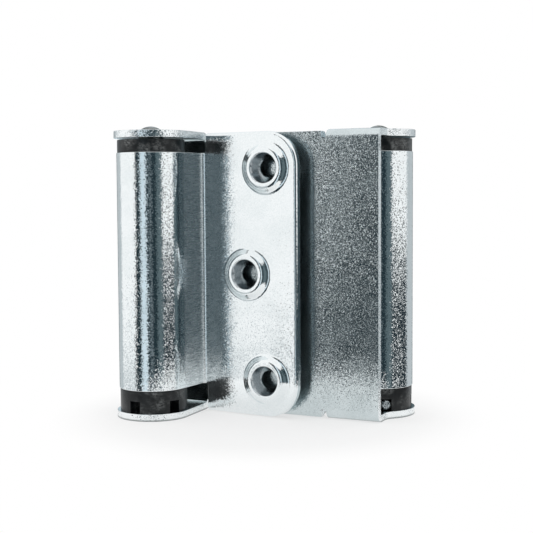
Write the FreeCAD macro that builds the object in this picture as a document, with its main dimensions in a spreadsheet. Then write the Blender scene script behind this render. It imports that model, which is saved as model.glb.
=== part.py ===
import FreeCAD, Part
import math
import os

import Sketcher
from FreeCAD import Placement, Rotation, Vector

# Double action spring hinge: a folded link plate carries a spring barrel at each end.
# A screw leaf is rolled round each barrel, one in front of the link plate and one behind it.
# X runs along the link plate, Y from front to back and Z up. The origin is on the axis about
# which half a turn brings the hinge onto itself, level with the outer face of the lower ears.

# Driving dimensions in millimetres, angles in degrees, turns and notches as counts
SIZES = {
    "height": 80.0,
    "link_sheet": 2.0,
    "link_half": 34.1,
    "link_setback": 0.5,
    "fold_start": 18.7,
    "fold_radius": 0.6,
    "relief_width": 1.3,
    "relief_depth": 2.2,
    "axis_x": 28.3,
    "axis_y": 14.8,
    "ear_margin": 0.7,
    "ear_fillet": 4.0,
    "leaf_sheet": 2.0,
    "leaf_gap": 0.5,
    "leaf_rest": 5.0,
    "leaf_width": 29.4,
    "leaf_setback": 0.4,
    "leaf_corner": 9.5,
    "leaf_edge": 0.9,
    "bend_radius": 1.0,
    "root_margin": 0.2,
    "sleeve_radius": 9.6,
    "seam_angle": 44.0,
    "hole_inset": 9.8,
    "hole_stagger": 6.1,
    "hole_end": 10.1,
    "hole_diameter": 5.2,
    "sink_diameter": 8.5,
    "sink_angle": 60.0,
    "boss_base": 14.0,
    "boss_top": 11.3,
    "boss_height": 1.4,
    "boss_round": 1.5,
    "spindle_radius": 3.5,
    "tenon_radius": 2.4,
    "dome_radius": 3.3,
    "dome_height": 1.35,
    "peen_radius": 3.2,
    "peen_depth": 0.8,
    "peen_recess": 0.1,
    "rivet_fit": 0.05,
    "ring_step": 0.2,
    "bush_flange": 3.6,
    "bush_gap": 0.4,
    "hub_length": 5.0,
    "bush_fit": 0.1,
    "running_clearance": 0.3,
    "running_gap": 0.2,
    "collar_height": 6.0,
    "notch_count": 5,
    "notch_clearance": 0.2,
    "pin_diameter": 2.8,
    "pin_lift": 0.3,
    "pin_fit": 0.1,
    "pin_proud": 0.1,
    "pin_inset": 2.5,
    "pin_chamfer": 0.4,
    "pin_angle": 123.0,
    "spring_wire": 2.0,
    "spring_turns": 10,
    "spring_end_gap": 0.2,
    "tang_length": 3.5,
    "tang_clearance": 0.2,
    "tang_slim": 0.03,
}

Z_AXIS = Vector(0, 0, 1)


class Size:
    """A length as a number, with the expression that ties it to the spreadsheet."""

    def __init__(self, value, text):
        self.value = value
        self.text = text

    @classmethod
    def of(cls, other):
        return other if isinstance(other, cls) else cls(float(other), str(other))

    def __add__(self, other):
        other = Size.of(other)
        return Size(self.value + other.value, f"({self.text} + {other.text})")

    def __sub__(self, other):
        other = Size.of(other)
        return Size(self.value - other.value, f"({self.text} - {other.text})")

    def __mul__(self, other):
        other = Size.of(other)
        return Size(self.value * other.value, f"({self.text} * {other.text})")

    def __truediv__(self, other):
        other = Size.of(other)
        return Size(self.value / other.value, f"({self.text} / {other.text})")

    def __neg__(self):
        return Size(-self.value, f"(-{self.text})")


doc = FreeCAD.newDocument("cafe_hinge")
sheet = doc.addObject("Spreadsheet::Sheet", "Sizes")
size = {}
for row, (alias, number) in enumerate(SIZES.items(), start=1):
    sheet.set(f"A{row}", alias)
    sheet.set(f"B{row}", str(number))
    sheet.setAlias(f"B{row}", alias)
    size[alias] = Size(float(number), f"Sizes.{alias}")
doc.recompute()

# Levels up the barrel
ear_top = size["link_sheet"]
upper_ear = size["height"] - size["link_sheet"]
collar_top = ear_top + size["collar_height"]
sleeve_bottom = collar_top + size["running_gap"]
bush_top = upper_ear - size["bush_gap"]
sleeve_top = bush_top - size["bush_flange"]
collar_hub_top = collar_top + size["hub_length"]
bush_hub_bottom = sleeve_top - size["hub_length"]
pin_level = ear_top + size["pin_lift"] + size["pin_diameter"] / 2

# Radii of the barrel
sleeve_inside = size["sleeve_radius"] - size["leaf_sheet"]
ring_radius = size["sleeve_radius"] - size["ring_step"]
ear_radius = size["sleeve_radius"] + size["ear_margin"]
spindle_bore = size["spindle_radius"] + size["running_clearance"]
collar_hub = sleeve_inside - size["running_clearance"]
spring_radius = (spindle_bore + collar_hub) / 2

# The leaf's plate, measured from its barrel's axis as if it were folded flat on the link plate
plate_back = size["axis_y"] - size["link_sheet"] / 2 - size["leaf_gap"]
plate_front = plate_back - size["leaf_sheet"]
bend_x = size["sleeve_radius"] + size["bend_radius"]
leaf_root = bend_x + size["root_margin"]
plate_end = leaf_root + size["leaf_width"]
plate_bottom = size["leaf_setback"]
plate_top = size["height"] - size["leaf_setback"]


def new_body(label):
    """An empty body with its label."""
    body = doc.addObject("PartDesign::Body", label)
    body.Label = label
    return body


def plane_sketch(body, name, role, offset=None):
    """A sketch on one of the body's origin planes, moved along the plane's normal."""
    sketch = body.newObject("Sketcher::SketchObject", name)
    plane = next(item for item in body.Origin.OriginFeatures if item.Role == role)
    sketch.AttachmentSupport = [(plane, "")]
    sketch.MapMode = "FlatFace"
    if offset is not None:
        sketch.setExpression("AttachmentOffset.Base.z", offset.text)
    return sketch


def hold(sketch, kind, where, length):
    """Add a dimension to a sketch and tie it to the spreadsheet."""
    length = Size.of(length)
    index = sketch.addConstraint(Sketcher.Constraint(kind, *where, length.value))
    name = f"{kind}_{index}"
    sketch.renameConstraint(index, name)
    sketch.setExpression(f"Constraints.{name}", length.text)


def place_point(sketch, geometry, end, across, up):
    """Tie a point of a sketch to its distances from the sketch's origin."""
    for kind, axis, length in (("DistanceX", -2, across), ("DistanceY", -1, up)):
        length = Size.of(length)
        if length.value == 0:
            sketch.addConstraint(Sketcher.Constraint("PointOnObject", geometry, end, axis))
        else:
            hold(sketch, kind, (-1, 1, geometry, end), length)


def as_vector(across, up):
    return Vector(Size.of(across).value, Size.of(up).value, 0)


def arc_about(centre, start, end):
    """The arc that turns counter-clockwise about its centre from start to end."""
    circle = Part.Circle(centre, Z_AXIS, (start - centre).Length)
    angles = [math.atan2(point.y - centre.y, point.x - centre.x) for point in (start, end)]
    return Part.ArcOfCircle(circle, *angles)


def closed_outline(sketch, corners, bows=None):
    """Join the corners in turn. A bow gives the height of the centre, on the upright axis, of the
    arc that takes the place of the side after that corner."""
    bows = bows or {}
    points = [as_vector(*corner) for corner in corners]
    first = sketch.GeometryCount
    for index, start in enumerate(points):
        end = points[(index + 1) % len(points)]
        if index in bows:
            sketch.addGeometry(arc_about(as_vector(0, bows[index]), start, end))
        else:
            sketch.addGeometry(Part.LineSegment(start, end))
    for index in range(len(corners)):
        following = first + (index + 1) % len(corners)
        sketch.addConstraint(Sketcher.Constraint("Coincident", first + index, 2, following, 1))
    for index, corner in enumerate(corners):
        place_point(sketch, first + index, 1, *corner)
    for index in bows:
        sketch.addConstraint(Sketcher.Constraint("PointOnObject", first + index, 3, -2))


def circle_at(sketch, across, up, radius):
    """A circle with its centre and radius tied to the spreadsheet."""
    circle = Part.Circle(as_vector(across, up), Z_AXIS, Size.of(radius).value)
    index = sketch.addGeometry(circle)
    place_point(sketch, index, 3, across, up)
    hold(sketch, "Radius", (index,), radius)


def pad(body, sketch, name, length):
    feature = body.newObject("PartDesign::Pad", name)
    feature.Profile = sketch
    feature.setExpression("Length", length.text)
    return feature


def cut_through(body, sketch, name, both_ways=True):
    """Cut a sketch's outlines out of the whole body."""
    feature = body.newObject("PartDesign::Pocket", name)
    feature.Profile = sketch
    feature.Type = "ThroughAll"
    feature.Midplane = both_ways
    return feature


def turned(body, name, corners, bows=None):
    """A solid of revolution about Z from an outline of radius against height."""
    sketch = plane_sketch(body, f"{name}_outline", "XZ_Plane")
    closed_outline(sketch, corners, bows)
    feature = body.newObject("PartDesign::Revolution", name)
    feature.Profile = sketch
    feature.ReferenceAxis = (sketch, ["V_Axis"])
    feature.Angle = 360
    return feature


def round_turn(body, features, name, count):
    """Repeat features evenly about the body's Z axis."""
    pattern = body.newObject("PartDesign::PolarPattern", name)
    pattern.Originals = features
    axis = next(item for item in body.Origin.OriginFeatures if item.Role == "Z_Axis")
    pattern.Axis = (axis, [""])
    pattern.Angle = 360
    pattern.Occurrences = int(count)
    body.Tip = pattern
    return pattern


def edges_where(feature, test):
    """Names of a feature's edges whose vertices all pass the test."""
    names = []
    for number, edge in enumerate(feature.Shape.Edges, start=1):
        if all(test(vertex.Point) for vertex in edge.Vertexes):
            names.append(f"Edge{number}")
    return names


def near(first, second):
    return abs(first - Size.of(second).value) < 1e-4


# Link plate

def fold_profile(body):
    """Section across a folded end: the web with a flange above and below, bent to one side."""
    sketch = plane_sketch(body, "fold_section", "YZ_Plane", size["fold_start"])
    front = -(size["link_sheet"] / 2)
    back = size["link_sheet"] / 2
    inner = size["fold_radius"]
    outer = size["fold_radius"] + size["link_sheet"]
    bend_end = back + inner
    flange = bend_end + size["link_sheet"] / 2
    corners = [
        (bend_end, 0),
        (flange, 0),
        (flange, ear_top),
        (bend_end, ear_top),
        (back, ear_top + inner),
        (back, upper_ear - inner),
        (bend_end, upper_ear),
        (flange, upper_ear),
        (flange, size["height"]),
        (bend_end, size["height"]),
        (front, size["height"] - outer),
        (front, outer),
    ]
    points = [as_vector(*corner) for corner in corners]
    low = as_vector(bend_end, outer)
    high = as_vector(bend_end, size["height"] - outer)
    arcs = {3: (low, 4, 3), 5: (high, 6, 5), 9: (high, 9, 10), 11: (low, 11, 0)}
    for index, start in enumerate(points):
        end = points[(index + 1) % len(points)]
        if index in arcs:
            centre, begin, finish = arcs[index]
            sketch.addGeometry(arc_about(centre, points[begin], points[finish]))
        else:
            sketch.addGeometry(Part.LineSegment(start, end))
    reversed_arcs = (3, 5)
    for index in range(len(corners)):
        following = (index + 1) % len(corners)
        here = 1 if index in reversed_arcs else 2
        there = 2 if following in reversed_arcs else 1
        sketch.addConstraint(Sketcher.Constraint("Coincident", index, here, following, there))
    for index, corner in enumerate(corners):
        place_point(sketch, index, 2 if index in reversed_arcs else 1, *corner)
    for index in arcs:
        hold(sketch, "DistanceX", (-1, 1, index, 3), bend_end)
    return sketch


def ear_outline(body, name, level):
    """An ear in plan: straight inner side, round end about the spindle, hollow outer corner."""
    sketch = plane_sketch(body, name, "XY_Plane", level)
    start_y = size["link_sheet"] / 2 + size["fold_radius"]
    axis = as_vector(size["axis_x"], size["axis_y"])
    radius = ear_radius.value
    hollow = size["ear_fillet"].value
    near_corner = as_vector(size["fold_start"], start_y)
    far_corner = as_vector(size["link_half"], start_y)

    reach = near_corner - axis
    touch = math.atan2(reach.y, reach.x) % (2 * math.pi) - math.acos(radius / reach.Length)
    side_end = axis + Vector(math.cos(touch), math.sin(touch), 0) * radius
    offset_x = far_corner.x + hollow - axis.x
    drop = math.sqrt((radius + hollow) ** 2 - offset_x**2)
    hollow_centre = Vector(far_corner.x + hollow, axis.y - drop, 0)
    meeting = axis + (hollow_centre - axis).normalize() * radius
    edge_end = Vector(far_corner.x, hollow_centre.y, 0)

    sketch.addGeometry(Part.LineSegment(far_corner, near_corner))
    sketch.addGeometry(Part.LineSegment(near_corner, side_end))
    sketch.addGeometry(arc_about(axis, meeting, side_end))
    sketch.addGeometry(arc_about(hollow_centre, meeting, edge_end))
    sketch.addGeometry(Part.LineSegment(edge_end, far_corner))
    join = Sketcher.Constraint
    sketch.addConstraint(
        [
            join("Coincident", 0, 2, 1, 1),
            join("Tangent", 1, 2, 2, 2),
            join("Tangent", 2, 1, 3, 1),
            join("Tangent", 3, 2, 4, 1),
            join("Coincident", 4, 2, 0, 1),
            join("Horizontal", 0),
            join("Vertical", 4),
        ]
    )
    place_point(sketch, 1, 1, size["fold_start"], start_y)
    place_point(sketch, 2, 3, size["axis_x"], size["axis_y"])
    hold(sketch, "DistanceX", (-1, 1, 4, 2), size["link_half"])
    hold(sketch, "Radius", (2,), ear_radius)
    hold(sketch, "Radius", (3,), size["ear_fillet"])
    return sketch


def web_outline(body):
    """The flat middle of the link plate, with a relief slit beside each fold."""
    sketch = plane_sketch(body, "web_outline", "XZ_Plane", -(size["link_sheet"] / 2))
    side = size["fold_start"]
    slit = size["fold_start"] - size["relief_width"]
    low = size["link_setback"]
    high = size["height"] - size["link_setback"]
    slit_low = low + size["relief_depth"]
    slit_high = high - size["relief_depth"]
    right = [(slit, low), (slit, slit_low), (side, slit_low)]
    right += [(side, slit_high), (slit, slit_high), (slit, high)]
    left = [(-across, up) for across, up in reversed(right)]
    closed_outline(sketch, right + left)
    return sketch


def make_link_plate():
    body = new_body("link_plate")
    pad(body, web_outline(body), "web", size["link_sheet"])
    fold_length = size["link_half"] - size["fold_start"]
    fold = pad(body, fold_profile(body), "fold", fold_length)
    lower = pad(body, ear_outline(body, "lower_ear_outline", None), "lower_ear", ear_top)
    upper = pad(body, ear_outline(body, "upper_ear_outline", upper_ear), "upper_ear", ear_top)

    bore_sketch = plane_sketch(body, "rivet_bore_circle", "XY_Plane")
    circle_at(bore_sketch, size["axis_x"], size["axis_y"], size["tenon_radius"] + size["rivet_fit"])
    bore = cut_through(body, bore_sketch, "rivet_bore")

    flare = (size["peen_radius"] - size["tenon_radius"]) / size["peen_depth"]
    mouth = size["peen_radius"] + size["rivet_fit"] + flare * size["peen_recess"]
    sink_sketch = plane_sketch(body, "rivet_sink_circle", "XY_Plane")
    circle_at(sink_sketch, size["axis_x"], size["axis_y"], mouth)
    sink = body.newObject("PartDesign::Pocket", "rivet_sink")
    sink.Profile = sink_sketch
    sink.Reversed = True
    sink.setExpression("Length", (size["peen_depth"] + size["peen_recess"]).text)
    sink.setExpression("TaperAngle", f"-atan({flare.text})")
    round_turn(body, [fold, lower, upper, bore, sink], "both_ends", 2)
    return body


# Leaf

def rolled_profile(body):
    """The leaf's sheet seen from above: plate, bend, tangent strip and rolled sleeve."""
    sketch = plane_sketch(body, "rolled_section", "XY_Plane", plate_bottom)
    sheet_thickness = size["leaf_sheet"].value
    inner = size["bend_radius"].value
    outside = size["sleeve_radius"].value
    bend = Vector(bend_x.value, plate_front.value - inner, 0)
    normal = Vector(1, 0, 0)
    seam = math.radians(size["seam_angle"].value)
    seam_line = Vector(math.cos(seam), math.sin(seam), 0)
    axis = Vector(0, 0, 0)

    front_start = Vector(bend.x, plate_front.value, 0)
    back_start = Vector(bend.x, plate_back.value, 0)
    front_end = as_vector(plate_end, plate_front)
    back_end = as_vector(plate_end, plate_back)
    outer_touch = normal * outside
    inner_touch = normal * (outside - sheet_thickness)
    strip_outer = bend - normal * inner
    strip_inner = bend - normal * (inner + sheet_thickness)
    roll_inner = seam_line * (outside - sheet_thickness)
    roll_outer = seam_line * outside

    sketch.addGeometry(
        [
            Part.LineSegment(front_start, front_end),
            Part.LineSegment(front_end, back_end),
            Part.LineSegment(back_end, back_start),
            arc_about(bend, back_start, strip_inner),
            Part.LineSegment(strip_inner, inner_touch),
            arc_about(axis, roll_inner, inner_touch),
            Part.LineSegment(roll_inner, roll_outer),
            arc_about(axis, roll_outer, outer_touch),
            Part.LineSegment(outer_touch, strip_outer),
            arc_about(bend, front_start, strip_outer),
        ]
    )
    join = Sketcher.Constraint
    sketch.addConstraint(
        [
            join("Coincident", 0, 2, 1, 1),
            join("Coincident", 1, 2, 2, 1),
            join("Tangent", 2, 2, 3, 1),
            join("Tangent", 3, 2, 4, 1),
            join("Tangent", 4, 2, 5, 2),
            join("Coincident", 5, 1, 6, 1),
            join("Coincident", 6, 2, 7, 1),
            join("Tangent", 7, 2, 8, 1),
            join("Tangent", 8, 2, 9, 2),
            join("Tangent", 9, 1, 0, 1),
            join("Horizontal", 0),
            join("Vertical", 1),
            join("Horizontal", 2),
            join("Coincident", 5, 3, -1, 1),
            join("Coincident", 7, 3, -1, 1),
            join("Coincident", 3, 3, 9, 3),
            join("PointOnObject", -1, 1, 6),
        ]
    )
    place_point(sketch, 0, 2, plate_end, plate_front)
    hold(sketch, "DistanceY", (-1, 1, 1, 2), plate_back)
    hold(sketch, "DistanceX", (-1, 1, 9, 3), bend_x)
    hold(sketch, "Radius", (9,), size["bend_radius"])
    hold(sketch, "Radius", (7,), size["sleeve_radius"])
    hold(sketch, "Radius", (5,), sleeve_inside)
    index = sketch.addConstraint(join("Angle", 6, seam))
    sketch.renameConstraint(index, "seam")
    sketch.setExpression("Constraints.seam", f"{size['seam_angle'].text} * 1 deg")
    return sketch


def cut_leaf_notches(body):
    """Shorten the rolled side, so that the rings and ears have room above and below it."""
    sketch = plane_sketch(body, "notch_outlines", "XZ_Plane")
    far = -(size["sleeve_radius"] * 2)
    for low, high in ((-ear_top, sleeve_bottom), (sleeve_top, size["height"] + ear_top)):
        corners = [(far, low), (leaf_root, low), (leaf_root, high), (far, high)]
        closed_outline(sketch, corners)
    return cut_through(body, sketch, "ring_notches")


def round_edges(body, name, base, names, radius):
    feature = body.newObject("PartDesign::Fillet", name)
    feature.Base = (base, names)
    feature.setExpression("Radius", radius.text)
    return feature


def round_plate(body, base):
    """Round the plate's free corners and the front of its edge."""
    corners = edges_where(
        base,
        lambda point: near(point.x, plate_end)
        and (near(point.z, plate_bottom) or near(point.z, plate_top)),
    )
    short = [name for name in corners if near(base.getSubObject(name).Length, size["leaf_sheet"])]
    cornered = round_edges(body, "plate_corners", base, short, size["leaf_corner"])
    doc.recompute()
    rim = edges_where(
        cornered,
        lambda point: near(point.y, plate_front)
        and (
            near(point.z, plate_bottom)
            or near(point.z, plate_top)
            or near(point.x, plate_end)
        ),
    )
    return round_edges(body, "plate_rim", cornered, rim, size["leaf_edge"])


def hole_centres():
    """Places of the three staggered screw holes on the plate."""
    outer = plate_end - size["hole_inset"]
    return [
        (outer, plate_bottom + size["hole_end"]),
        (outer - size["hole_stagger"], (plate_bottom + plate_top) / 2),
        (outer, plate_top - size["hole_end"]),
    ]


def boss_circles(feature):
    """Names of the edges round the foot and the top of each boss."""
    top_level = plate_front - size["boss_height"]
    names = []
    for across, up in hole_centres():
        centre = as_vector(across, up)
        for level, width in ((plate_front, size["boss_base"]), (top_level, size["boss_top"])):
            names += edges_where(
                feature,
                lambda point: near(point.y, level)
                and near(math.hypot(point.x - centre.x, point.z - centre.y), width / 2),
            )
    return names


def make_bosses(body):
    """Three raised bosses on the front, each with a countersunk screw hole."""
    base_sketch = plane_sketch(body, "boss_circles", "XZ_Plane", -plate_front)
    for across, up in hole_centres():
        circle_at(base_sketch, across, up, size["boss_base"] / 2)
    bosses = pad(body, base_sketch, "bosses", size["boss_height"])
    run = (size["boss_base"] - size["boss_top"]) / 2
    bosses.setExpression("TaperAngle", f"-atan({run.text} / {size['boss_height'].text})")
    doc.recompute()
    round_edges(body, "boss_rounding", bosses, boss_circles(bosses), size["boss_round"])
    doc.recompute()

    mouth_level = size["boss_height"] - plate_front
    hole_sketch = plane_sketch(body, "hole_circles", "XZ_Plane", mouth_level)
    for across, up in hole_centres():
        circle_at(hole_sketch, across, up, size["hole_diameter"] / 2)
    doc.recompute()
    hole = body.newObject("PartDesign::Hole", "screw_holes")
    hole.Profile = hole_sketch
    hole.ThreadType = 0
    hole.DepthType = "ThroughAll"
    hole.HoleCutType = "Countersink"
    hole.HoleCutCustomValues = True
    hole.setExpression("Diameter", size["hole_diameter"].text)
    hole.setExpression("HoleCutDiameter", size["sink_diameter"].text)
    hole.setExpression("HoleCutCountersinkAngle", f"{size['sink_angle'].text} * 1 deg")
    return hole


def make_leaf(label):
    body = new_body(label)
    pad(body, rolled_profile(body), "rolled_sheet", plate_top - plate_bottom)
    notched = cut_leaf_notches(body)
    doc.recompute()
    round_plate(body, notched)
    doc.recompute()
    make_bosses(body)
    return body


# Barrel

def make_spindle(label):
    """A shouldered rivet: dome above the upper ear, flush peened foot in the lower ear."""
    body = new_body(label)
    top = size["height"]
    crown = top + size["dome_height"]
    rise = size["dome_height"]
    ball = (size["dome_radius"] * size["dome_radius"] + rise * rise) / (rise * 2)
    corners = [
        (0, size["peen_recess"]),
        (size["peen_radius"], size["peen_recess"]),
        (size["tenon_radius"], size["peen_recess"] + size["peen_depth"]),
        (size["tenon_radius"], ear_top),
        (size["spindle_radius"], ear_top),
        (size["spindle_radius"], upper_ear),
        (size["tenon_radius"], upper_ear),
        (size["tenon_radius"], top),
        (size["dome_radius"], top),
        (0, crown),
    ]
    dome_side = len(corners) - 2
    turned(body, "rivet", corners, {dome_side: crown - ball})
    hole = plane_sketch(body, "pin_hole_circle", "YZ_Plane")
    circle_at(hole, 0, pin_level, size["pin_diameter"] / 2 + size["pin_fit"])
    cut_through(body, hole, "pin_hole")
    return body


def cut_tang_hole(body, level):
    """The blind hole that holds one end of the spring."""
    sketch = plane_sketch(body, "tang_hole_circle", "XY_Plane", level)
    circle_at(sketch, spring_radius, 0, size["spring_wire"] / 2 + size["tang_clearance"])
    hole = body.newObject("PartDesign::Pocket", "tang_hole")
    hole.Profile = sketch
    hole.setExpression("Length", (size["tang_length"] + size["tang_clearance"]).text)
    return hole


def make_upper_bush(label):
    """The ring above the sleeve, with a hub pressed into it."""
    body = new_body(label)
    hub = sleeve_inside - size["bush_fit"]
    corners = [
        (spindle_bore, bush_hub_bottom),
        (hub, bush_hub_bottom),
        (hub, sleeve_top),
        (ring_radius, sleeve_top),
        (ring_radius, bush_top),
        (spindle_bore, bush_top),
    ]
    turned(body, "ring", corners)
    cut_tang_hole(body, bush_hub_bottom).Reversed = True
    return body


def make_tension_collar(label):
    """The ring below the sleeve: notches for the pin, and a hub that holds the spring's foot."""
    body = new_body(label)
    corners = [
        (spindle_bore, ear_top),
        (ring_radius, ear_top),
        (ring_radius, collar_top),
        (collar_hub, collar_top),
        (collar_hub, collar_hub_top),
        (spindle_bore, collar_hub_top),
    ]
    turned(body, "ring", corners)
    cut_tang_hole(body, collar_hub_top)

    half = size["pin_diameter"] / 2 + size["notch_clearance"]
    sketch = plane_sketch(body, "notch_outline", "YZ_Plane")
    below = ear_top - half
    above = pin_level + half
    closed_outline(sketch, [(-half, below), (half, below), (half, above), (-half, above)])
    notch = cut_through(body, sketch, "notch", both_ways=False)
    notch.Reversed = True
    round_turn(body, [notch], "notches", size["notch_count"].value)
    return body


def make_tension_pin(label):
    """The round pin that goes through a notch of the collar into the spindle."""
    body = new_body(label)
    radius = size["pin_diameter"] / 2
    start = -size["pin_inset"]
    end = ring_radius + size["pin_proud"]
    cut = size["pin_chamfer"]
    corners = [
        (start, 0),
        (end, 0),
        (end, radius - cut),
        (end - cut, radius),
        (start + cut, radius),
        (start, radius - cut),
    ]
    sketch = plane_sketch(body, "pin_outline", "XZ_Plane")
    closed_outline(sketch, corners)
    feature = body.newObject("PartDesign::Revolution", "round_pin")
    feature.Profile = sketch
    feature.ReferenceAxis = (sketch, ["H_Axis"])
    feature.Angle = 360
    return body


def make_spring(label):
    """A torsion coil whose two ends turn down into the collar and up into the bush."""
    body = new_body(label)
    wire = size["spring_wire"] / 2
    start = collar_hub_top + size["spring_end_gap"] + wire
    end = bush_hub_bottom - size["spring_end_gap"] - wire
    section = plane_sketch(body, "wire_section", "XZ_Plane")
    circle_at(section, spring_radius, start, wire)
    coil = body.newObject("PartDesign::AdditiveHelix", "coil")
    coil.Profile = section
    coil.ReferenceAxis = (section, ["V_Axis"])
    coil.Mode = "height-turns-angle"
    coil.setExpression("Height", (end - start).text)
    coil.setExpression("Turns", size["spring_turns"].text)

    reach = size["tang_length"] + size["spring_end_gap"] + size["spring_wire"]
    for name, level, up in (("foot", start + wire, False), ("tip", end - wire, True)):
        circle = plane_sketch(body, f"{name}_circle", "XY_Plane", level)
        circle_at(circle, spring_radius, 0, wire - size["tang_slim"])
        pad(body, circle, name, reach).Reversed = not up
    return body


def stand(body, side, turn=0.0, lift=None):
    """Put a piece on the left or right barrel's axis, turned about it."""
    whole_turn = turn if side < 0 else turn + 180
    body.Placement = Placement(Vector(0, 0, 0), Rotation(Z_AXIS, whole_turn))
    body.setExpression("Placement.Base.x", (size["axis_x"] * side).text)
    body.setExpression("Placement.Base.y", (size["axis_y"] * side).text)
    if lift is not None:
        body.setExpression("Placement.Base.z", lift.text)


def make_barrel(name, side):
    """The pieces on one spindle, all turned so that the pin points out of its notch."""
    turn = size["pin_angle"].value
    pieces = [
        make_spindle(f"{name}_spindle"),
        make_upper_bush(f"{name}_upper_bush"),
        make_tension_collar(f"{name}_tension_collar"),
        make_spring(f"{name}_spring"),
    ]
    for piece in pieces:
        stand(piece, side, turn)
    pin = make_tension_pin(f"{name}_tension_pin")
    stand(pin, side, turn, pin_level)
    return pieces + [pin]


def write_parts(pieces):
    """Stop on any failed object, then write one file for each piece."""
    doc.recompute()
    for item in doc.Objects:
        if {"Invalid", "Error"} & set(item.State):
            raise RuntimeError(f"{item.Label} failed: {item.State}")
    for piece in pieces:
        if piece.Shape.isNull() or not piece.Shape.isValid() or len(piece.Shape.Solids) != 1:
            raise RuntimeError(f"{piece.Label} isn't one valid solid")
    os.makedirs("parts", exist_ok=True)
    for piece in pieces:
        piece.Shape.exportStep(os.path.join("parts", f"{piece.Label}.step"))
        print(f"{piece.Label}: {piece.Shape.Volume:.1f} mm3")


front_leaf = make_leaf("front_leaf")
stand(front_leaf, -1, -size["leaf_rest"].value)
rear_leaf = make_leaf("rear_leaf")
stand(rear_leaf, 1, -size["leaf_rest"].value)
pieces = [make_link_plate(), front_leaf, rear_leaf]
pieces += make_barrel("left", -1)
pieces += make_barrel("right", 1)
write_parts(pieces)
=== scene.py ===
# %% [markdown]
# # A double action spring hinge in the studio
# The hinge swings a light door both ways. A folded link plate carries a sprung barrel at each
# end, and a leaf of sheet steel is rolled round each barrel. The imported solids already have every
# real shape, so this lesson gives them soft edges, plated and moulded finishes, a studio to
# reflect, and a camera. Lengths are in metres, and the hinge stands on the floor at height zero.

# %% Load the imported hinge
import math

import bpy
from mathutils import Matrix, Vector


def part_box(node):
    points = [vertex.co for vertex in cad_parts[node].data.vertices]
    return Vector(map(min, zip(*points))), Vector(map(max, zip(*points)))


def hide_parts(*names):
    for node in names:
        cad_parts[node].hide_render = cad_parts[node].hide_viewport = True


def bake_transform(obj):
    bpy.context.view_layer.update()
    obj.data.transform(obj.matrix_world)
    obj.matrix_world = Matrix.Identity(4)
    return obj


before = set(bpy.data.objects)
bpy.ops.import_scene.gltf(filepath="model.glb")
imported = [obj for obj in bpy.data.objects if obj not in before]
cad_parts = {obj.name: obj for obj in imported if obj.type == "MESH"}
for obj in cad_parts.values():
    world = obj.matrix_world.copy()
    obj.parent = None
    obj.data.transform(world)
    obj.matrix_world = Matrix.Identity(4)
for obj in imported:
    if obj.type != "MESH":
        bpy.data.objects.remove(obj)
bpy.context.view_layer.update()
MM = 0.001
print("pieces:", ", ".join(sorted(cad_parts)))

# %% [markdown]
# ## The camera
# The photograph was taken from a little above the hinge and to the right of its front. A camera
# could be aimed by eye with a tracking constraint. Here its turn, height, distance and tilt were
# solved from measured corners, so each piece falls where the photograph has it.

# %% Stand the camera where the photograph was taken
PICTURE_PIXELS = 533
FOCAL_PIXELS = 1130.0
TURN = math.radians(25.80)
RISE = math.radians(3.80)
TILT = math.radians(-0.355)
DISTANCE = 319.3 * MM
AIM_ACROSS = 0.195 * MM
AIM_UP = 1.885 * MM
MIDDLE = Vector((0.0, 0.0, 40.0 * MM))

front = Vector((math.sin(TURN), -math.cos(TURN), 0.0))
right = Vector((math.cos(TURN), math.sin(TURN), 0.0))
back = front * math.cos(RISE) + Vector((0.0, 0.0, math.sin(RISE)))
up = back.cross(right)

camera_data = bpy.data.cameras.new("studio_camera")
camera_data.sensor_width = 36.0
camera_data.lens = FOCAL_PIXELS / PICTURE_PIXELS * camera_data.sensor_width
camera_data.clip_start = 0.01
camera_data.clip_end = 50.0
camera = bpy.data.objects.new("studio_camera", camera_data)
bpy.context.collection.objects.link(camera)
tilted_right = right * math.cos(TILT) + up * math.sin(TILT)
tilted_up = up * math.cos(TILT) - right * math.sin(TILT)
place = MIDDLE + right * AIM_ACROSS + up * AIM_UP + back * DISTANCE
axes = Matrix((tilted_right, tilted_up, back)).transposed().to_4x4()
camera.matrix_world = Matrix.Translation(place) @ axes
bpy.context.scene.camera = camera
bpy.context.scene.view_settings.view_transform = "Standard"
print("lens in mm:", round(camera_data.lens, 2))

# %% [markdown]
# ## Sums with sockets
# A finish is a graph of nodes, and graphs are tiring to read as lists of links. One small class
# lets a socket take part in Python sums, so that a mask reads as a formula. Every other node
# comes from its one making method, which sets the node up first and fills its sockets after.


# %% A socket that does sums
class Wire:
    """A node's output. An operator adds a Math node and gives back its result."""

    def __init__(self, socket):
        self.socket = socket

    @staticmethod
    def node(tree, kind, settings=None, sockets=None):
        """Add a node: its settings first, then the values or wires of its sockets."""
        made = tree.nodes.new(kind)
        for name, value in (settings or {}).items():
            setattr(made, name, value)
        for name, value in (sockets or {}).items():
            if isinstance(value, Wire):
                tree.links.new(value.socket, made.inputs[name])
            else:
                made.inputs[name].default_value = value
        return made

    def maths(self, operation, other=0.0, swapped=False):
        """The result of a Math node. Some operations, such as SINE, leave other unused."""
        pair = (other, self) if swapped else (self, other)
        settings = {"operation": operation}
        made = Wire.node(self.socket.id_data, "ShaderNodeMath", settings, dict(enumerate(pair)))
        return Wire(made.outputs[0])

    def __add__(self, other):
        return self.maths("ADD", other)

    def __sub__(self, other):
        return self.maths("SUBTRACT", other)

    def __rsub__(self, other):
        return self.maths("SUBTRACT", other, swapped=True)

    def __mul__(self, other):
        return self.maths("MULTIPLY", other)

    __radd__ = __add__
    __rmul__ = __mul__


# A Mix node has sockets of one name for each kind of data, so its colours go by their numbers
MIX_COLOURS = (6, 7)
MIX_RESULT = 2


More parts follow.
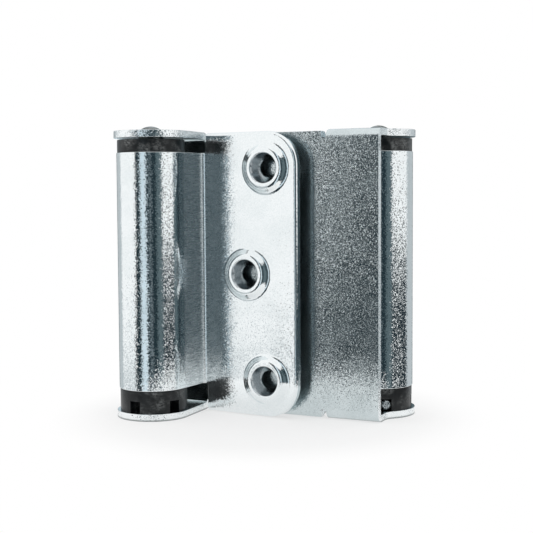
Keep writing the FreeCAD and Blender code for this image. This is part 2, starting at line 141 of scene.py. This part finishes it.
def blend(tree, share, first, second):
    """Two colours mixed by a share from 0 to 1."""
    sockets = {"Factor": share}
    for index, colour in zip(MIX_COLOURS, (first, second)):
        sockets[index] = colour if isinstance(colour, Wire) else (*colour, 1.0)
    made = Wire.node(tree, "ShaderNodeMix", {"data_type": "RGBA"}, sockets)
    return Wire(made.outputs[MIX_RESULT])


def vector_maths(tree, operation, *vectors):
    """The node that works on vectors, by the name of its operation."""
    settings = {"operation": operation}
    return Wire.node(tree, "ShaderNodeVectorMath", settings, dict(enumerate(vectors)))


def ease(tree, value, start, end):
    """A smooth step from 0 at start to 1 at end."""
    settings = {"interpolation_type": "SMOOTHSTEP"}
    limits = {"Value": value, "From Min": start, "From Max": end}
    return Wire(Wire.node(tree, "ShaderNodeMapRange", settings, limits).outputs["Result"])


print("shader maths ready")

# %% [markdown]
# ## The studio
# Bright zinc is nearly a mirror, so what stands round it is most of its colour. Lamps alone would
# leave it dark between their reflections. Here the hinge stands in a plain white tent, which is
# the world, and tall cards stand round it as they do in a product studio. Dark cards in front
# draw the dark stripes down the barrels, with a paler one where the lens would look in. Low cards
# at the sides darken only the lower half of what mirrors them, and grey ones behind keep the
# bright edges from melting into the white. They are hidden from the camera, as real ones stay
# outside its frame, and they take no light from matt pieces.

# %% Light the white tent
WHITE = (1.0, 1.0, 1.0, 1.0)

world = bpy.data.worlds.new("white_tent")
world.use_nodes = True
tree = world.node_tree
tree.nodes.clear()
tent = Wire.node(tree, "ShaderNodeBackground", None, {"Color": WHITE, "Strength": 1.0})
Wire.node(tree, "ShaderNodeOutputWorld", None, {"Surface": Wire(tent.outputs[0])})
bpy.context.scene.world = world
print("world:", world.name)

# %% Stand the cards round the hinge
CARD_DISTANCE = 3.0
CARD_FOOT = -3.0
CARD_TOP = 2.2
CARD_STEP = 4.0
DARK_CARD = (0.018, 0.032, 0.040)
SLATE_CARD = (0.11, 0.15, 0.165)
PALE_STRIP = (0.68, 0.78, 0.84)
GREY_CARD = (0.52, 0.56, 0.58)
LENS_CARD = (0.18, 0.22, 0.24)

# Each card's sides as angles seen from above, from the camera's side and positive to its right,
# then the heights of its foot and its top, and its tone
CARDS = {
    "left_dark_card": (-50.0, -34.0, CARD_FOOT, CARD_TOP, DARK_CARD),
    "pale_strip_card": (-34.0, -13.0, CARD_FOOT, CARD_TOP, PALE_STRIP),
    "near_dark_card": (-13.0, -3.0, CARD_FOOT, CARD_TOP, DARK_CARD),
    "lens_card": (-3.0, 3.5, CARD_FOOT, CARD_TOP, LENS_CARD),
    "far_dark_card": (3.5, 20.0, CARD_FOOT, CARD_TOP, DARK_CARD),
    "slate_card": (20.0, 40.0, CARD_FOOT, CARD_TOP, SLATE_CARD),
    "right_low_card": (40.0, 104.0, -0.66, -0.12, DARK_CARD),
    "right_grey_card": (104.0, 155.0, CARD_FOOT, CARD_TOP, GREY_CARD),
    "back_dark_card": (155.0, 176.0, CARD_FOOT, CARD_TOP, SLATE_CARD),
    "back_strip_card": (176.0, 190.0, CARD_FOOT, CARD_TOP, PALE_STRIP),
    "back_slate_card": (190.0, 205.0, CARD_FOOT, CARD_TOP, SLATE_CARD),
    "left_grey_card": (205.0, 242.0, CARD_FOOT, CARD_TOP, GREY_CARD),
    "left_low_card": (242.0, 304.0, CARD_FOOT, -0.48, GREY_CARD),
    "left_shade_card": (304.0, 310.0, CARD_FOOT, -0.27, DARK_CARD),
}


def new_finish(name):
    """An empty material and its node tree."""
    finish = bpy.data.materials.new(name)
    finish.use_nodes = True
    finish.node_tree.nodes.clear()
    return finish, finish.node_tree


def stand_card(name, start, end, foot, top, tone):
    """A tall curved card that glows faintly in its own tone."""
    steps = math.ceil((end - start) / CARD_STEP)
    points = []
    for step in range(steps + 1):
        angle = math.radians(start + (end - start) * step / steps)
        away = (front * math.cos(angle) + right * math.sin(angle)) * CARD_DISTANCE
        points += [(away.x, away.y, level) for level in (foot, top)]
    mesh = bpy.data.meshes.new(name)
    mesh.from_pydata(points, [], [(at, at + 2, at + 3, at + 1) for at in range(0, 2 * steps, 2)])
    paper, tree = new_finish(name)
    glow = Wire.node(tree, "ShaderNodeEmission", None, {"Color": (*tone, 1.0), "Strength": 1.0})
    Wire.node(tree, "ShaderNodeOutputMaterial", None, {"Surface": Wire(glow.outputs[0])})
    mesh.materials.append(paper)
    made = bpy.data.objects.new(name, mesh)
    made.visible_camera = False
    made.visible_diffuse = False
    made.visible_shadow = False
    bpy.context.collection.objects.link(made)


for card, (start, end, foot, top, tone) in CARDS.items():
    stand_card(card, start, end, foot, top, tone)
print("cards:", len(CARDS))

# %% [markdown]
# ## The floor
# The hinge stands on a small round white table. A wide floor would fill the lower half of every
# reflection, and the stripes on the barrels run nearly to their feet, so the table ends a little
# way out from the hinge. Part of its white glows, more towards its rim, so that it meets the white
# tent without a line. The rest is matt and takes the hinge's soft shadow.

# %% Lay the floor
FLOOR_REACH = 66.0 * MM
FLOOR_DROP = 0.05 * MM
FLOOR_SIDES = 96

rim = [step * math.tau / FLOOR_SIDES for step in range(FLOOR_SIDES)]
floor_mesh = bpy.data.meshes.new("floor")
floor_points = [(FLOOR_REACH * math.cos(a), FLOOR_REACH * math.sin(a), -FLOOR_DROP) for a in rim]
floor_mesh.from_pydata(floor_points, [], [tuple(range(FLOOR_SIDES))])
floor = bpy.data.objects.new("floor", floor_mesh)
bpy.context.collection.objects.link(floor)
print("floor reaches", round(FLOOR_REACH / MM), "mm each way")

# %% Whiten the floor
FLOOR_GLOW = 0.62
FLOOR_FADE = (0.6 * FLOOR_REACH, 0.97 * FLOOR_REACH)
FLOOR_TONE = (0.9, 0.9, 0.9, 1.0)


def coordinate(tree, kind):
    """A piece's own coordinate: Object for its points, Normal for the way they face."""
    return Wire(Wire.node(tree, "ShaderNodeTexCoord").outputs[kind])


floor_white, tree = new_finish("floor_white")
path = Wire.node(tree, "ShaderNodeLightPath")
watched = Wire(path.outputs["Is Camera Ray"]) + Wire(path.outputs["Is Glossy Ray"])
watched = watched + Wire(path.outputs["Is Transmission Ray"])
reach = vector_maths(tree, "LENGTH", coordinate(tree, "Object"))
outwards = ease(tree, Wire(reach.outputs["Value"]), *FLOOR_FADE)
matt = Wire.node(tree, "ShaderNodeBsdfDiffuse", None, {"Color": FLOOR_TONE})
glow = Wire.node(tree, "ShaderNodeEmission", None, {"Color": WHITE, "Strength": 1.0})
share = watched * (FLOOR_GLOW + (1.0 - FLOOR_GLOW) * outwards)
layers = {"Fac": share, 1: Wire(matt.outputs[0]), 2: Wire(glow.outputs[0])}
both = Wire.node(tree, "ShaderNodeMixShader", None, layers)
Wire.node(tree, "ShaderNodeOutputMaterial", None, {"Surface": Wire(both.outputs[0])})
floor_mesh.materials.append(floor_white)
print("floor finish:", floor_white.name)

# %% [markdown]
# ## Tools for the finishes
# Every finish starts from a point in the piece's own frame, so that it stays put when the piece
# swings, and it ends with one surface shader. In between come noise, bumps and measured distances.
# Their nodes could be set up anew in each finish. Here they are small functions that all of them
# call.

# %% Make the tools for the finishes


def end_finish(tree, sockets):
    """Close a finish with its surface shader."""
    surface = Wire.node(tree, "ShaderNodeBsdfPrincipled", None, sockets)
    Wire.node(tree, "ShaderNodeOutputMaterial", None, {"Surface": Wire(surface.outputs[0])})


def along(tree, vector, axis):
    """How far a vector reaches along an axis."""
    return Wire(vector_maths(tree, "DOT_PRODUCT", vector, tuple(axis)).outputs["Value"])


def stretched(tree, point, stretch):
    """A point with each of its three distances multiplied."""
    return Wire(vector_maths(tree, "MULTIPLY", point, stretch).outputs[0])


def noise(tree, point, size, detail=2.0, roughness=0.5):
    """Noise whose lumps are about that long, in metres."""
    sockets = {"Vector": point, "Scale": 1.0 / size, "Detail": detail, "Roughness": roughness}
    return Wire(Wire.node(tree, "ShaderNodeTexNoise", None, sockets).outputs[0])


def bumped(tree, height, depth, normal=None):
    """A surface normal tipped by a height from 0 to 1, that deep in metres."""
    sockets = {"Strength": 1.0, "Distance": depth, "Height": height}
    if normal:
        sockets["Normal"] = normal
    return Wire(Wire.node(tree, "ShaderNodeBump", None, sockets).outputs[0])


X_AXIS = (1.0, 0.0, 0.0)
Y_AXIS = (0.0, 1.0, 0.0)
Z_AXIS = (0.0, 0.0, 1.0)
print("finish tools ready")

# %% [markdown]
# ## The grain of the sheet
# The leaves and the link plate are pressed from steel sheet, then plated with bright zinc. The
# plating is glossy, but it follows the fine grain of the rolled sheet, so where bright meets dark
# the reflection breaks into sandy specks. Roughness alone would blur it to a grey haze, and a fine
# bump is averaged away at this distance. Here a cell texture splits the sheet into grains, and each
# leans a few degrees its own way and has a slightly different tone, while the gloss stays sharp.

# %% Split the sheet into grains
CLOUD_SIZE = 9.0 * MM
CLOUD_LIMITS = (0.35, 0.7)
SPECK_LIMITS = (0.25, 0.75)
LEAST_LEAN = 0.4
EXTRA_LEAN = 1.1


def clouding(tree, point):
    """A share from 0 to 1 that drifts over the sheet in broad patches."""
    return ease(tree, noise(tree, point, CLOUD_SIZE, detail=3.0), *CLOUD_LIMITS)


def sheet_grains(tree, point, size):
    """A random colour for each grain of the sheet, about that wide in metres."""
    sockets = {"Vector": point, "Scale": 1.0 / size}
    return Wire(Wire.node(tree, "ShaderNodeTexVoronoi", None, sockets).outputs["Color"])


def specks(tree, grains):
    """A share from 0 to 1 for each grain: most are near the middle."""
    return ease(tree, along(tree, grains, (1 / 3, 1 / 3, 1 / 3)), *SPECK_LIMITS)


def leaning(tree, grains, tilt):
    """A surface normal that leans its own way on each grain: most a little, a few far more."""
    level = Wire(Wire.node(tree, "ShaderNodeNewGeometry").outputs["Normal"])
    way = Wire(vector_maths(tree, "MULTIPLY_ADD", grains, (2.0,) * 3, (-1.0,) * 3).outputs[0])
    squared = Wire(vector_maths(tree, "MULTIPLY", way, way).outputs[0])
    limits = ((EXTRA_LEAN,) * 3, (LEAST_LEAN,) * 3)
    reach = Wire(vector_maths(tree, "MULTIPLY_ADD", squared, *limits).outputs[0])
    lean = Wire(vector_maths(tree, "MULTIPLY", way, reach).outputs[0])
    sockets = {0: lean, "Scale": tilt}
    tilted = Wire.node(tree, "ShaderNodeVectorMath", {"operation": "SCALE"}, sockets)
    leant = vector_maths(tree, "ADD", level, Wire(tilted.outputs[0]))
    return Wire(vector_maths(tree, "NORMALIZE", Wire(leant.outputs[0])).outputs[0])


print("a grain leans by up to", round(LEAST_LEAN + EXTRA_LEAN, 1), "times its finish's tilt")

# %% [markdown]
# ## The link plate's and the spindles' zinc
# The link plate was sheared from its sheet before it was folded. Its cut rims are coarser than its
# faces and are given a brighter zinc as a painted highlight. Painted shade darkens the foot of its
# lower ears, where they meet the floor. The rims could be faces with a finish of their own. Here
# they are found by which way the surface looks and how far it lies from the plate's middle, so the
# bevelled corners fade from one to the other. The spindles' heads take the same zinc, worn dark and
# coarse by the riveting tool.

# %% Mix the link plate's and the spindles' zinc
BRIGHT_ZINC = (0.91, 0.945, 0.955)
FROSTED_ZINC = (0.72, 0.785, 0.80)
CLOUDED_ZINC = (0.58, 0.65, 0.665)
# The dark zinc of the spindles' worn heads, also used as painted shade along the link plate's foot
WORN_ZINC_AND_SHADE = (0.27, 0.29, 0.29)
DARK_ZINC = (0.14, 0.155, 0.155)
RIM_TILT = 0.12
# Heights over which the painted shade along the link plate's foot fades out
FOOT_SHADE_ENDS = (0.1 * MM, 0.7 * MM)
EAR_ENDS = (1.2 * MM, 2.0 * MM)
# How squarely a surface looks along an axis, where it starts to count and where it counts fully
RIM_FACING = (0.6, 0.9)
EAR_FACING = (0.5, 0.8)
SOLE_FACING = (0.9, 0.98)


def cut_rims(tree, point):
    """Two shares: the sheared edges of the link plate and its ears, and painted shade along its
    foot.
    """
    facing = coordinate(tree, "Normal")
    ends = ease(tree, along(tree, facing, X_AXIS).maths("ABSOLUTE"), *RIM_FACING)
    level = along(tree, facing, Z_AXIS).maths("ABSOLUTE")
    deep = along(tree, point, Y_AXIS).maths("ABSOLUTE")
    ears = ease(tree, deep, *EAR_ENDS) * (1 - ease(tree, level, *EAR_FACING))
    # Painted shade: the surface darkens near its foot, where it meets the floor
    foot = 1 - ease(tree, along(tree, point, Z_AXIS), *FOOT_SHADE_ENDS)
    return ends.maths("MAXIMUM", ears), foot * (1 - ease(tree, level, *SOLE_FACING))


def zinc(name, tones, grain, tilt, roughness, rims=None):
    """Bright zinc over sheet of that grain, in metres, which leans by about that slope.

    Rims, if it is given, makes the shares that are sheared, so coarser and brighter with a painted
    highlight, and that are darkened by painted shade along the foot."""
    finish, tree = new_finish(name)
    point = coordinate(tree, "Object")
    clouds = clouding(tree, point)
    grains = sheet_grains(tree, point, grain)
    tone = blend(tree, clouds * 0.5 + specks(tree, grains) * 0.5, *tones)
    if rims:
        sheared, painted_foot_shade = rims(tree, point)
        # The sheared rims take a brighter zinc as a painted highlight, and the foot a darker one as
        # painted shade
        tone = blend(tree, painted_foot_shade, blend(tree, sheared, tone, BRIGHT_ZINC), WORN_ZINC_AND_SHADE)
        tilt = sheared * RIM_TILT + tilt
    low, high = roughness
    end_finish(
        tree,
        {
            "Base Color": tone,
            "Metallic": 1.0,
            "Roughness": clouds * (high - low) + low,
            "Normal": leaning(tree, grains, tilt),
        },
    )
    return finish


link_zinc = zinc(
    "link_zinc_plate",
    tones=(FROSTED_ZINC, CLOUDED_ZINC),
    grain=0.18 * MM,
    tilt=0.056,
    roughness=(0.15, 0.20),
    rims=cut_rims,
)
spindle_zinc = zinc(
    "spindle_zinc_plate",
    tones=(WORN_ZINC_AND_SHADE, DARK_ZINC),
    grain=0.3 * MM,
    tilt=0.14,
    roughness=(0.16, 0.28),
)
print("zinc finishes:", link_zinc.name, spindle_zinc.name)

# %% [markdown]
# ## The leaves' own zinc
# A leaf is plated like the link plate, and its presswork leaves two marks of its own. The strip
# that joins the sleeve to the plate was drawn over a tool, which scored it with fine level lines,
# and the punched screw sinks are duller than the face around them. Rolling also opens the grain, so
# the sleeve glitters more than the flat plate. These could be separate materials on chosen faces.
# Here they are masks measured from the leaf's own barrel, so one finish covers the whole leaf, and
# the rear leaf takes the same finish turned half a turn.

# %% Find the strip and the sinks of a leaf
REST_TURN = math.radians(5.0)
OUTWARDS = Vector((math.cos(REST_TURN), -math.sin(REST_TURN), 0.0))
BACKWARDS = Vector((math.sin(REST_TURN), math.cos(REST_TURN), 0.0))
STRIP_SIDES = (9.0 * MM, 10.2 * MM)
STRIP_EDGE = 0.4 * MM
STRIP_START = (1.0 * MM, 2.5 * MM)
SINK_RADIUS = 4.2 * MM
SINK_EDGE = 0.1 * MM
HOLES = [(30.4 * MM, 0.0, 69.5 * MM), (24.3 * MM, 0.0, 40.0 * MM), (30.4 * MM, 0.0, 10.5 * MM)]

spindle_low, spindle_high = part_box("left_spindle")
barrel = (spindle_low + spindle_high) / 2


def from_barrel(tree, point, half_turn):
    """How far a point lies from its leaf's barrel: along the leaf, and behind it."""
    across = along(tree, point, OUTWARDS * half_turn) - barrel.dot(OUTWARDS)
    deep = along(tree, point, BACKWARDS * half_turn) - barrel.dot(BACKWARDS)
    return across, deep


def drawn_strip(tree, across, deep):
    """1 on the strip between the sleeve and the plate."""
    inner, outer = STRIP_SIDES
    begun = ease(tree, across, inner, inner + STRIP_EDGE)
    ended = ease(tree, across, outer, outer + STRIP_EDGE)
    return begun * (1 - ended) * ease(tree, deep, *STRIP_START)


def screw_sinks(tree, point, across):
    """1 in the sinks, and the distance from the middle of each, which stops growing at its rim."""
    sockets = {"X": across, "Z": along(tree, point, Z_AXIS)}
    on_leaf = Wire(Wire.node(tree, "ShaderNodeCombineXYZ", None, sockets).outputs[0])
    away = [Wire(vector_maths(tree, "DISTANCE", on_leaf, hole).outputs["Value"]) for hole in HOLES]
    rim = (SINK_RADIUS - SINK_EDGE, SINK_RADIUS + SINK_EDGE)
    sinks = sum(1 - ease(tree, distance, *rim) for distance in away)
    rings = sum(distance.maths("MINIMUM", SINK_RADIUS) for distance in away)
    return sinks, rings


print("barrel axis in mm:", [round(length / MM, 2) for length in barrel.xy])

# %% Mix the leaves' zinc
LEAF_GRAIN = 0.21 * MM
PLATE_TILT = 0.034
SLEEVE_TILT = 0.056
SINK_TONE = (0.46, 0.50, 0.52)
SCORE_SIZE = 0.3 * MM
SCORE_STRETCH = (0.06, 0.06, 1.0)
RIDGE_RADIANS_PER_METRE = 2.6 / MM
MARK_DEPTH = 0.06 * MM


def leaf_zinc(name, half_turn):
    """Zinc with a scored strip and dull sinks, for the front leaf or the one half a turn from it."""
    finish, tree = new_finish(name)
    point = coordinate(tree, "Object")
    across, deep = from_barrel(tree, point, half_turn)
    strip = drawn_strip(tree, across, deep)
    sinks, rings = screw_sinks(tree, point, across)

    clouds = clouding(tree, point)
    scores = noise(tree, stretched(tree, point, SCORE_STRETCH), SCORE_SIZE)
    ridges = (rings * RIDGE_RADIANS_PER_METRE).maths("SINE") * sinks
    marks = ridges * 0.3 + strip * scores * 0.5
    grains = sheet_grains(tree, point, LEAF_GRAIN)
    face = blend(tree, clouds * 0.25 + specks(tree, grains) * 0.35, BRIGHT_ZINC, FROSTED_ZINC)
    rolled = 1 - ease(tree, across, *STRIP_SIDES)
    tilt = rolled * (SLEEVE_TILT - PLATE_TILT) + PLATE_TILT
    end_finish(
        tree,
        {
            "Base Color": blend(tree, sinks, face, SINK_TONE),
            "Metallic": 1.0,
            "Roughness": clouds * 0.04 + 0.08 + sinks * 0.12 + strip * (scores * 0.3 + 0.02),
            "Normal": bumped(tree, marks, MARK_DEPTH, leaning(tree, grains, tilt)),
        },
    )
    return finish


front_zinc = leaf_zinc("front_leaf_zinc_plate", 1.0)
rear_zinc = leaf_zinc("rear_leaf_zinc_plate", -1.0)
print("leaf finishes:", front_zinc.name, rear_zinc.name)

# %% [markdown]
# ## Black nylon
# The rings above and below each sleeve are moulded in black nylon: satin, with a faint cloudiness
# and pale scuffs from turning. One even black would look like a hole in the picture. Here the
# scuffs are fine noise that shows only inside broad patches, as wear does, and they are a little
# rougher than the rest.

# %% Mix the nylon
NYLON_BLACK = (0.004, 0.006, 0.007)
NYLON_SCUFF = (0.125, 0.132, 0.132)
PATCH_SIZE = 5.0 * MM
SCUFF_SIZE = 0.7 * MM
SCUFF_STRETCH = (1.0, 1.0, 1.6)
MOULD_CLOUD = 4.0 * MM
MOULD_GRAIN = 0.3 * MM
MOULD_DEPTH = 0.012 * MM


def nylon(name):
    """Satin black, scuffed in patches."""
    finish, tree = new_finish(name)
    point = coordinate(tree, "Object")
    patches = ease(tree, noise(tree, point, PATCH_SIZE), 0.42, 0.66)
    turned = stretched(tree, point, SCUFF_STRETCH)
    scratches = noise(tree, turned, SCUFF_SIZE, detail=4.0, roughness=0.7)
    scuffs = patches * ease(tree, scratches, 0.35, 0.65)
    clouds = noise(tree, point, MOULD_CLOUD, detail=3.0)
    grains = noise(tree, point, MOULD_GRAIN)
    end_finish(
        tree,
        {
            "Base Color": blend(tree, scuffs, NYLON_BLACK, NYLON_SCUFF),
            "Roughness": clouds * 0.15 + 0.22 + scuffs * 0.15,
            "Specular IOR Level": 0.32,
            "Normal": bumped(tree, grains + clouds * 0.6, MOULD_DEPTH),
        },
    )
    return finish


black_nylon = nylon("black_nylon_moulding")
print("moulded finish:", black_nylon.name)

# %% [markdown]
# ## Plain steel
# The tension pins are turned steel, and the springs inside the barrels are drawn wire. Both show
# the marks of their tools. An anisotropic shader could smear their gloss, but it would need a
# direction on every face. Here noise makes the marks, and a stretch draws them out on the wire.

# %% Mix the steel
MARK_SIZE = 0.35 * MM
TOOL_DEPTH = 0.008 * MM


def steel(name, tones, stretch, roughness):
    """Bare steel with tool marks, drawn out along an axis where its stretch is below 1."""
    finish, tree = new_finish(name)
    point = stretched(tree, coordinate(tree, "Object"), stretch)
    marks = ease(tree, noise(tree, point, MARK_SIZE, detail=3.0), 0.35, 0.65)
    low, high = roughness
    end_finish(
        tree,
        {
            "Base Color": blend(tree, marks, *tones),
            "Metallic": 1.0,
            "Roughness": marks * (high - low) + low,
            "Normal": bumped(tree, marks, TOOL_DEPTH),
        },
    )
    return finish


pin_steel = steel(
    "turned_pin_steel",
    tones=((0.46, 0.51, 0.53), (0.10, 0.12, 0.13)),
    stretch=(1.0, 1.0, 1.0),
    roughness=(0.22, 0.38),
)
spring_steel = steel(
    "drawn_spring_wire",
    tones=((0.34, 0.35, 0.36), (0.20, 0.205, 0.21)),
    stretch=(1.0, 1.0, 0.3),
    roughness=(0.3, 0.45),
)
print("steel finishes:", pin_steel.name, spring_steel.name)

# %% [markdown]
# ## Dressing the pieces
# Each imported piece keeps its place and its mesh, and takes the finish of its kind. Sheet edges and
# moulded rims are never knife sharp, and the light caught on them is what shows a piece's
# thickness. The corners could be rounded in the mesh, but the solids have to stay as they were
# packed. Here the solids stay as they were imported, and modifiers join the flat faces and then
# round the corners with a narrow bevel.

# %% Give each piece its finish and its soft edges
WELD_GAP = 0.001 * MM
FLAT_ANGLE = math.radians(0.5)
CORNER_ANGLE = math.radians(35.0)

# The finish of each kind of piece, and how wide its corners are rounded, in millimetres
FINISHES = {
    "front_leaf": (front_zinc, 0.25),
    "rear_leaf": (rear_zinc, 0.25),
    "link_plate": (link_zinc, 0.35),
    "spindle": (spindle_zinc, 0.2),
    "upper_bush": (black_nylon, 0.25),
    "tension_collar": (black_nylon, 0.25),
    "tension_pin": (pin_steel, None),
    "spring": (spring_steel, None),
}


def soften(piece, width):
    """Round a piece's corners without touching its own mesh."""
    weld = piece.modifiers.new("weld", "WELD")
    weld.merge_threshold = WELD_GAP
    join = piece.modifiers.new("join_flats", "DECIMATE")
    join.decimate_type = "DISSOLVE"
    join.angle_limit = FLAT_ANGLE
    round_off = piece.modifiers.new("soft_edge", "BEVEL")
    round_off.limit_method = "ANGLE"
    round_off.angle_limit = CORNER_ANGLE
    round_off.width = width * MM
    round_off.segments = 3
    shade = piece.modifiers.new("flat_shading", "WEIGHTED_NORMAL")
    shade.weight = 100


for node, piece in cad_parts.items():
    kind = node.removeprefix("left_").removeprefix("right_")
    finish, edge = FINISHES[kind]
    piece.material_slots[0].material = finish
    if edge:
        soften(piece, edge)
    print(node, "takes", finish.name)

# %% [markdown]
# ## The springs
# Each spring's foot sits in the tension collar, which stays with the link plate, and its head in the
# upper ring, which turns with the leaf. A rigid coil could ride on only one of them and would cut
# through the other. Here a copy of the coil takes each spring's place, in the drawn wire's finish,
# and the imported coil is hidden. A point a tang above the coil's foot is found for the copy, which
# does not yet follow either end.

# %% Copy each spring and hide the imported coil
TANG = 4.0 * MM
SPRING_LEAVES = {"left": "front_leaf_body", "right": "rear_leaf_body"}

for side, leaf in SPRING_LEAVES.items():
    node = f"{side}_spring"
    coil_low, coil_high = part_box(node)
    middle = (coil_low + coil_high) / 2
    coil = bpy.data.objects.new(f"{side}_wound_spring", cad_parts[node].data.copy())
    bpy.context.collection.objects.link(coil)
    coil.material_slots[0].material = spring_steel
    foot = (middle.x, middle.y, coil_low.z + TANG)
    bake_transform(coil)
    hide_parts(node)
